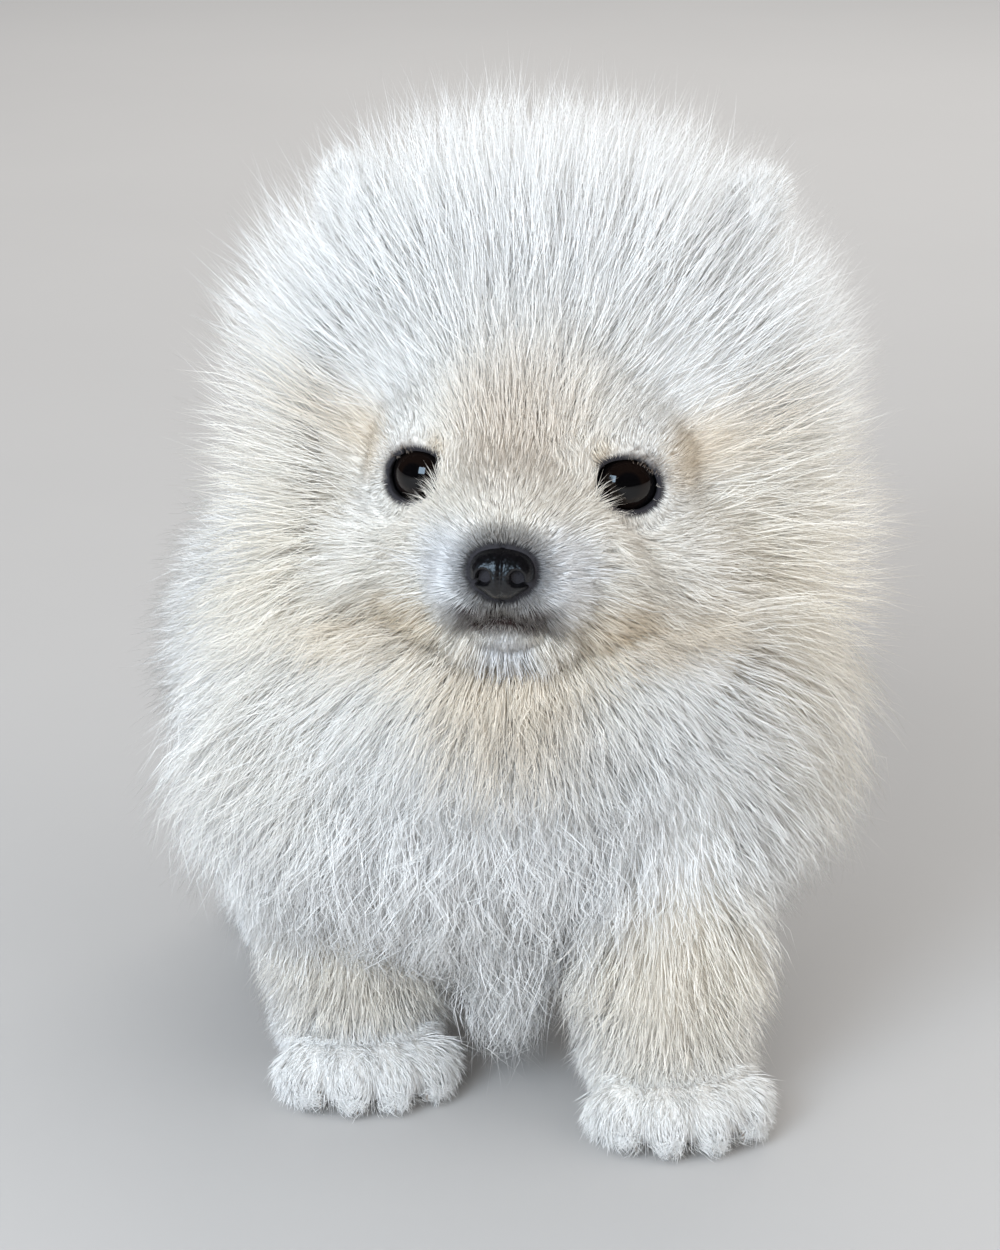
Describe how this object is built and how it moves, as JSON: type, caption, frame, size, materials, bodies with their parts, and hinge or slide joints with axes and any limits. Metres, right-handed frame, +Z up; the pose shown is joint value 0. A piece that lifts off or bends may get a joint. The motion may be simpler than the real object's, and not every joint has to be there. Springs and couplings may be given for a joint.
{
  "type": "pomeranian",
  "caption": "Small fluffy puppy standing on four paws, with a round stand-off coat, short muzzle, small cupped ears and a plumed tail curled over its back",
  "frame": {"origin": "middle of the outline seen from above, on the floor under the paws", "axes": "+X to the puppy's left, +Y towards its tail, +Z up; the chest faces -Y"},
  "size_m": [0.1456, 0.1734, 0.1894],
  "materials": {
    "coat": "soft stand-off fur, cream white",
    "leg_coat": "short fur, warm white",
    "nose": "moist black nose leather",
    "eye": "wet dark brown eye"
  },
  "bodies": {
    "root": {"head": "coat", "ear_left": "coat", "ear_right": "coat", "neck": "coat", "chest": "coat", "torso": "coat", "tail": "coat", "foreleg_left": "leg_coat", "foreleg_right": "leg_coat", "forepaw_left": "leg_coat", "forepaw_right": "leg_coat", "hindleg_left": "leg_coat", "hindleg_right": "leg_coat", "hindpaw_left": "leg_coat", "hindpaw_right": "leg_coat", "nose": "nose", "eye_left": "eye", "eye_right": "eye"}
  },
  "joints": []
}
